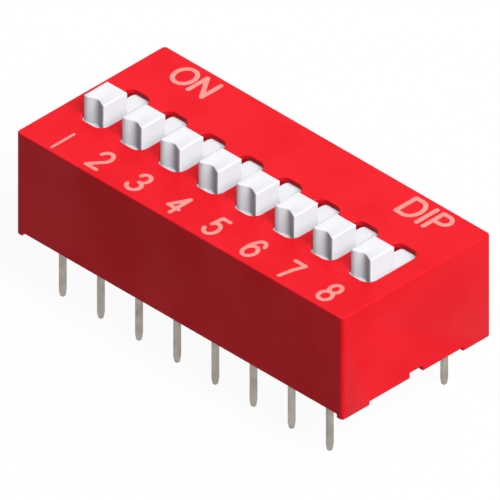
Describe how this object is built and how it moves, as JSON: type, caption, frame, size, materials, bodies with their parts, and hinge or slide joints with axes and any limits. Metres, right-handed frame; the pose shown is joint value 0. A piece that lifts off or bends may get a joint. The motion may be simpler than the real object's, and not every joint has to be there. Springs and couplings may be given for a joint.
{
  "type": "dip switch",
  "caption": "Slide switch block for a circuit board: a red box with a row of raised white slide knobs in slots on top and two rows of straight pins below.",
  "frame": {"origin": "centre of the pin grid on the board's surface, where the feet stand", "axes": "+X from position 1 towards the last position, +Y from the OFF side towards the ON side, +Z out of the board"},
  "size_m": [0.0218, 0.0098, 0.0102],
  "materials": {
    "cover": "semi-gloss moulded",
    "base": "moulded",
    "actuator": "satin moulded",
    "leaf": "gold-flashed spring strip",
    "terminal": "tin-plated strip"
  },
  "bodies": {
    "housing": {"cover": "cover", "base": "base", "terminal_1": "terminal", "terminal_2": "terminal", "terminal_3": "terminal", "terminal_4": "terminal", "terminal_5": "terminal", "terminal_6": "terminal", "terminal_7": "terminal", "terminal_8": "terminal", "terminal_9": "terminal", "terminal_10": "terminal", "terminal_11": "terminal", "terminal_12": "terminal", "terminal_13": "terminal", "terminal_14": "terminal", "terminal_15": "terminal", "terminal_16": "terminal"},
    "switch_1": {"slider_1": "actuator", "contact_1": "leaf"},
    "switch_2": {"slider_2": "actuator", "contact_2": "leaf"},
    "switch_3": {"slider_3": "actuator", "contact_3": "leaf"},
    "switch_4": {"slider_4": "actuator", "contact_4": "leaf"},
    "switch_5": {"slider_5": "actuator", "contact_5": "leaf"},
    "switch_6": {"slider_6": "actuator", "contact_6": "leaf"},
    "switch_7": {"slider_7": "actuator", "contact_7": "leaf"},
    "switch_8": {"slider_8": "actuator", "contact_8": "leaf"}
  },
  "joints": [
    {"name": "slide_1", "type": "slide", "parent": "housing", "child": "switch_1", "axis": [0, 1, 0], "range_m": [0, 0.0013]},
    {"name": "slide_2", "type": "slide", "parent": "housing", "child": "switch_2", "axis": [0, 1, 0], "range_m": [0, 0.0013]},
    {"name": "slide_3", "type": "slide", "parent": "housing", "child": "switch_3", "axis": [0, 1, 0], "range_m": [0, 0.0013]},
    {"name": "slide_4", "type": "slide", "parent": "housing", "child": "switch_4", "axis": [0, 1, 0], "range_m": [0, 0.0013]},
    {"name": "slide_5", "type": "slide", "parent": "housing", "child": "switch_5", "axis": [0, 1, 0], "range_m": [0, 0.0013]},
    {"name": "slide_6", "type": "slide", "parent": "housing", "child": "switch_6", "axis": [0, 1, 0], "range_m": [0, 0.0013]},
    {"name": "slide_7", "type": "slide", "parent": "housing", "child": "switch_7", "axis": [0, 1, 0], "range_m": [0, 0.0013]},
    {"name": "slide_8", "type": "slide", "parent": "housing", "child": "switch_8", "axis": [0, 1, 0], "range_m": [0, 0.0013]}
  ]
}
